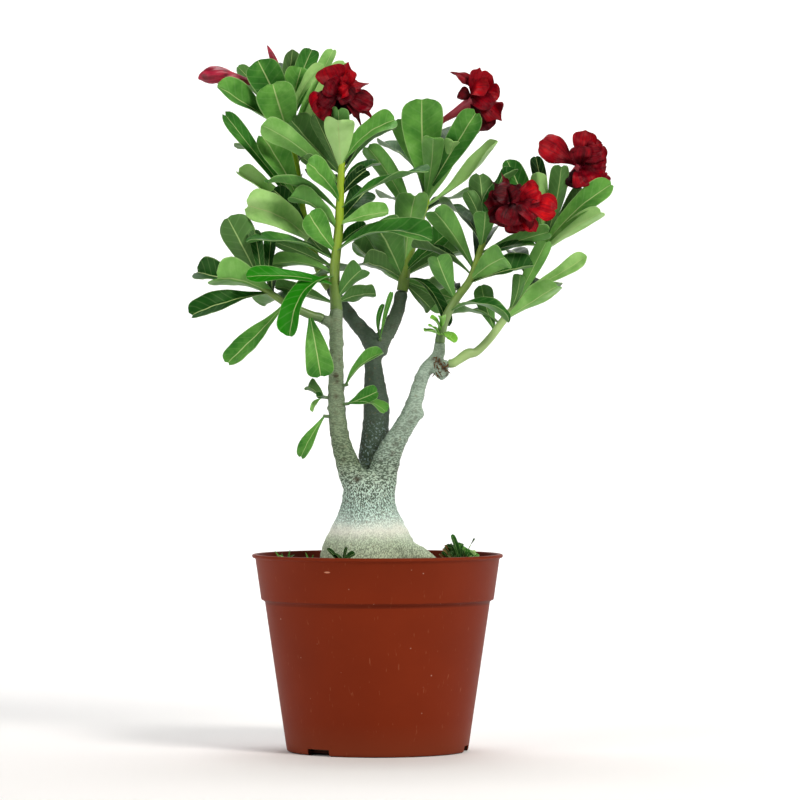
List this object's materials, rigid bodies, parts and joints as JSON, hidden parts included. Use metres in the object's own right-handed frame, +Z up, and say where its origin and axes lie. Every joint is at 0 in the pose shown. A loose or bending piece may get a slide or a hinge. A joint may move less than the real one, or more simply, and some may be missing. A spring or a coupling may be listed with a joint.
{
  "type": "potted desert rose",
  "caption": "Desert rose with a swollen base, upright grey-green trunks, waxy spoon-shaped leaves and double crimson flowers, in a round plastic nursery pot.",
  "frame": {"origin": "centre of the pot's underside, on the plane the pot rests on", "axes": "+Z up along the pot's axis, -Y towards the front of the picture, +X towards the picture's right"},
  "size_m": [0.3827, 0.2256, 0.6381],
  "materials": {
    "pot_plastic": "moulded terracotta-coloured plastic, soft sheen",
    "potting_soil": "moist crumbly potting soil",
    "bark": "smooth grey-green succulent bark with fine wrinkles",
    "leaf": "waxy green leaf with a pale midrib",
    "young_leaf": "young bright green leaf",
    "petal": "velvety crimson petal",
    "weed_leaf": "dark green weed leaf"
  },
  "bodies": {
    "root": {"pot": "pot_plastic", "soil": "potting_soil", "caudex": "bark", "shoot_leader": "leaf", "shoot_upper_left": "leaf", "shoot_left": "leaf", "shoot_centre": "leaf", "shoot_right_inner": "leaf", "shoot_right_outer": "leaf", "sprout_left": "young_leaf", "sprout_spoon": "young_leaf", "sprout_right": "young_leaf", "sprout_folded": "young_leaf", "sprout_fork": "young_leaf", "bloom_leader": "petal", "bloom_centre": "petal", "bloom_right_outer": "petal", "bloom_right_inner": "petal", "bud_long": "petal", "bud_small": "petal", "weed_clump": "weed_leaf", "weed_front": "weed_leaf", "grass_left": "weed_leaf", "grass_middle": "weed_leaf"}
  },
  "joints": []
}
